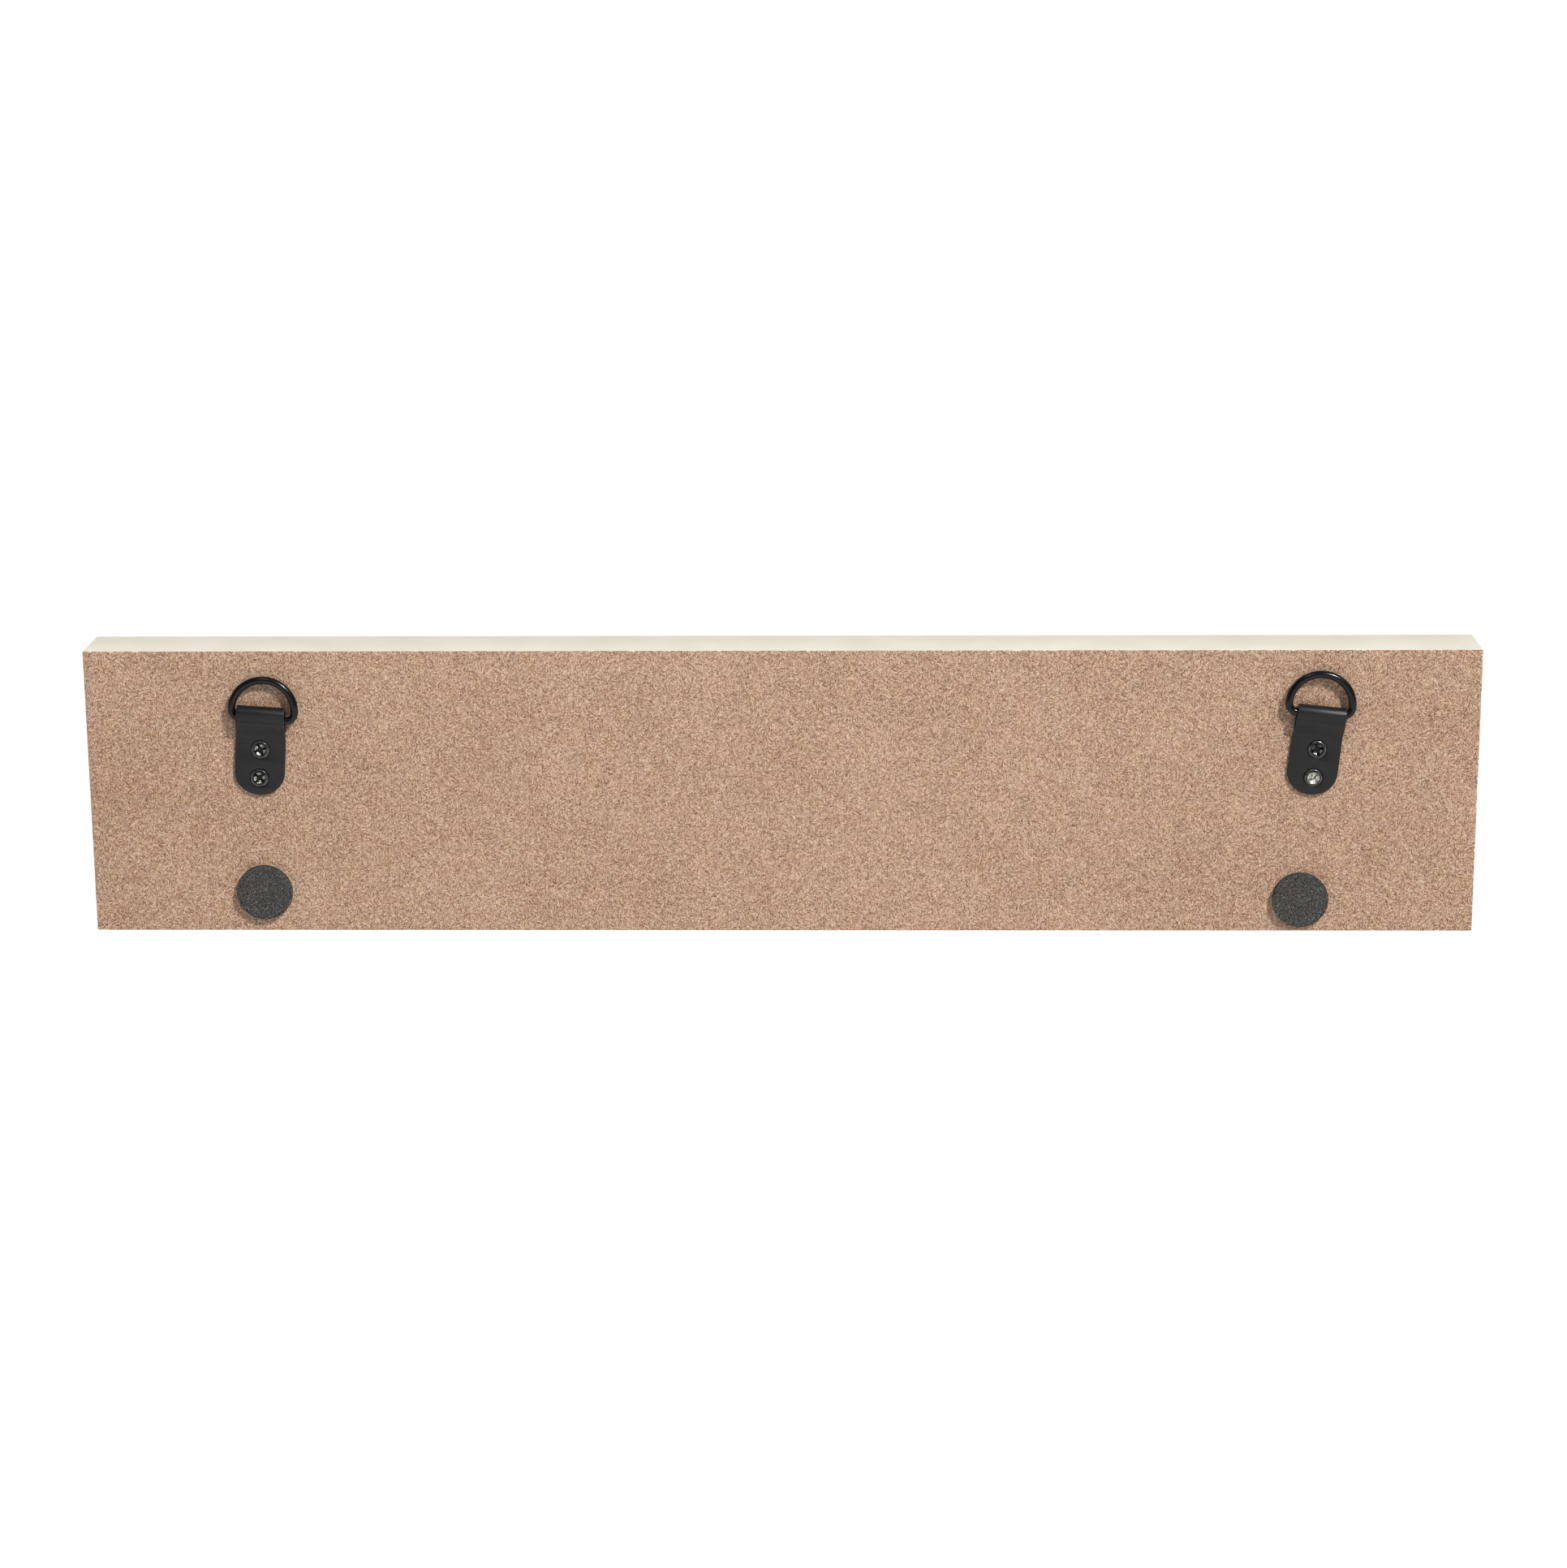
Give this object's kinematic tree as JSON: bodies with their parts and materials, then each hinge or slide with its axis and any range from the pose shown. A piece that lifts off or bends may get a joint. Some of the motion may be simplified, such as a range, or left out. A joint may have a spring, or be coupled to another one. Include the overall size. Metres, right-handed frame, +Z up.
{
  "type": "floating frame",
  "caption": "Shallow floater frame for a small wide work: fibreboard back, painted mitred rim, D-ring strap hangers and foam wall bumpers on the back.",
  "frame": {"origin": "middle of the bottom edge, halfway along the length and halfway through the 20 mm thickness", "axes": "+X along the frame's length, +Y out of the raw back towards the wall, +Z up; the display side faces -Y"},
  "size_m": [0.4, 0.0246, 0.0835],
  "materials": {
    "raw_fibreboard": "raw sawn and sanded medium-density fibreboard",
    "cream_paint": "fibreboard under satin cream paint",
    "black_strap": "satin black coat on pressed steel strip",
    "black_wire": "semi-gloss black coat on steel wire",
    "black_screw": "black coat, worn bright inside the cross recess",
    "grey_foam": "dark grey open-pored foam",
    "adhesive_film": "thin double-sided adhesive film"
  },
  "bodies": {
    "frame": {"back_board": "raw_fibreboard", "top_rail": "cream_paint", "bottom_rail": "cream_paint", "left_rail": "cream_paint", "right_rail": "cream_paint", "left_hanger_strap": "black_strap", "left_upper_screw": "black_screw", "left_lower_screw": "black_screw", "right_hanger_strap": "black_strap", "right_upper_screw": "black_screw", "right_lower_screw": "black_screw", "left_bumper_film": "adhesive_film", "left_foam_bumper": "grey_foam", "right_bumper_film": "adhesive_film", "right_foam_bumper": "grey_foam"},
    "left_ring": {"left_d_ring": "black_wire"},
    "right_ring": {"right_d_ring": "black_wire"}
  },
  "joints": [
    {"name": "right_ring_hinge", "type": "hinge", "parent": "frame", "child": "right_ring", "pos_m": [0.1486, 0.0123, 0.06388], "axis": [-0.9963, 0, -0.0854], "range_deg": [0, 178]},
    {"name": "left_ring_hinge", "type": "hinge", "parent": "frame", "child": "left_ring", "pos_m": [-0.15395, 0.0123, 0.06526], "axis": [-0.996, 0, -0.0889], "range_deg": [0, 178]}
  ]
}
